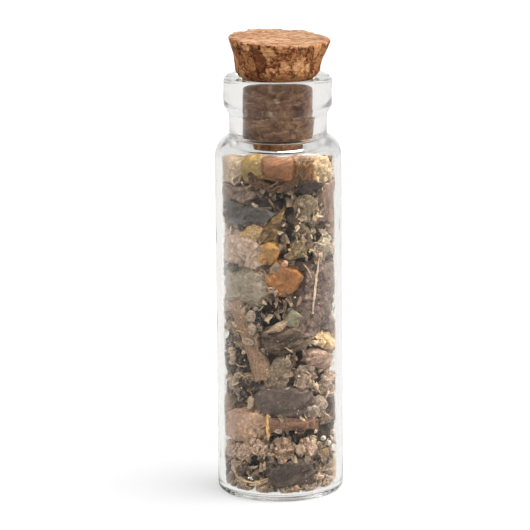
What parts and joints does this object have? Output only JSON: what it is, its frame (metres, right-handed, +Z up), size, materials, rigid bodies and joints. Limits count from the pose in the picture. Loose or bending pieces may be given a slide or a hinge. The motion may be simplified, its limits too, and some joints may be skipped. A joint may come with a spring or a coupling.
{
  "type": "corked sample vial",
  "caption": "Clear glass cork-top vial with a rounded shoulder and rolled lip, packed with loose dried resin, bark, leaves and seeds under a tapered cork stopper.",
  "frame": {"origin": "centre of the vial's underside, where its axis meets the surface it stands on", "axes": "+Z up along the vial's axis, the way the cork pulls out; the side shown in the picture faces -Y, and +X is to the right seen from there"},
  "size_m": [0.022, 0.022, 0.0807],
  "materials": {
    "clear_glass": "gloss",
    "cork": "matte",
    "pale_resin": "satin",
    "olive_resin": "satin",
    "orange_resin": "gloss",
    "slate_resin": "satin",
    "pink_resin": "satin",
    "honey_resin": "gloss",
    "green_resin": "satin",
    "tan_resin": "satin",
    "brown_bark": "matte",
    "red_bark": "matte",
    "dark_bark": "matte",
    "brown_twig": "satin",
    "olive_leaf": "matte",
    "grey_leaf": "matte",
    "gold_petal": "matte",
    "straw": "matte",
    "seed": "satin"
  },
  "bodies": {
    "vial": {"glass_vial": "clear_glass", "smooth_twig": "brown_twig", "pale_seeds": "seed", "pale_stem": "straw", "pale_bead": "seed", "curled_bark_strip": "red_bark", "red_bark_twig": "red_bark", "straw_curl": "straw", "twisted_leaf": "olive_leaf", "olive_leaf": "olive_leaf", "silver_leaf": "grey_leaf", "small_olive_leaf": "olive_leaf", "yellow_petal": "gold_petal", "golden_resin_flake": "honey_resin", "golden_petal": "gold_petal", "pale_leaf_tip": "grey_leaf", "round_leaf": "grey_leaf", "crumpled_leaf": "grey_leaf", "grey_leaf": "grey_leaf", "thin_yellow_petal": "gold_petal", "shrivelled_flower": "straw", "crumpled_flower": "straw", "star_flower": "straw", "curled_husks": "straw", "white_seeds": "seed", "pale_resin_lump": "pale_resin", "olive_resin_lump": "olive_resin", "orange_resin_lump": "orange_resin", "rough_brown_lump": "brown_bark", "mauve_bark_lump": "brown_bark", "slate_resin_lump": "slate_resin", "dark_root_strip": "dark_bark", "red_bark_strip": "red_bark", "pink_resin_lump": "pink_resin", "honey_resin_chip": "honey_resin", "amber_resin_lump": "orange_resin", "green_resin_lump": "green_resin", "rough_bark_slab": "dark_bark", "pale_green_chip": "green_resin", "dark_leaf": "dark_bark", "pink_bark_fragment": "red_bark", "mauve_resin_lump": "slate_resin", "tan_resin_lump": "tan_resin", "dark_bark_lump": "dark_bark", "pale_crumbs": "straw", "floor_crumbs": "straw", "side_bark_slab": "dark_bark", "side_twig": "brown_twig", "back_bark_slab": "brown_bark", "back_twig": "brown_twig", "back_leaves": "olive_leaf", "side_resin_lumps": "tan_resin", "back_resin_lumps": "green_resin", "back_bark_lumps": "brown_bark", "core_bark_lump_low": "dark_bark", "core_resin_lump_low": "slate_resin", "core_bark_lump_middle": "dark_bark", "core_resin_lump_high": "slate_resin", "core_bark_lump_high": "brown_bark"},
    "cork": {"cork_stopper": "cork"}
  },
  "joints": [
    {"name": "cork_pull", "type": "slide", "parent": "vial", "child": "cork", "axis": [0, 0, 1], "range_m": [0, 0.02]}
  ]
}
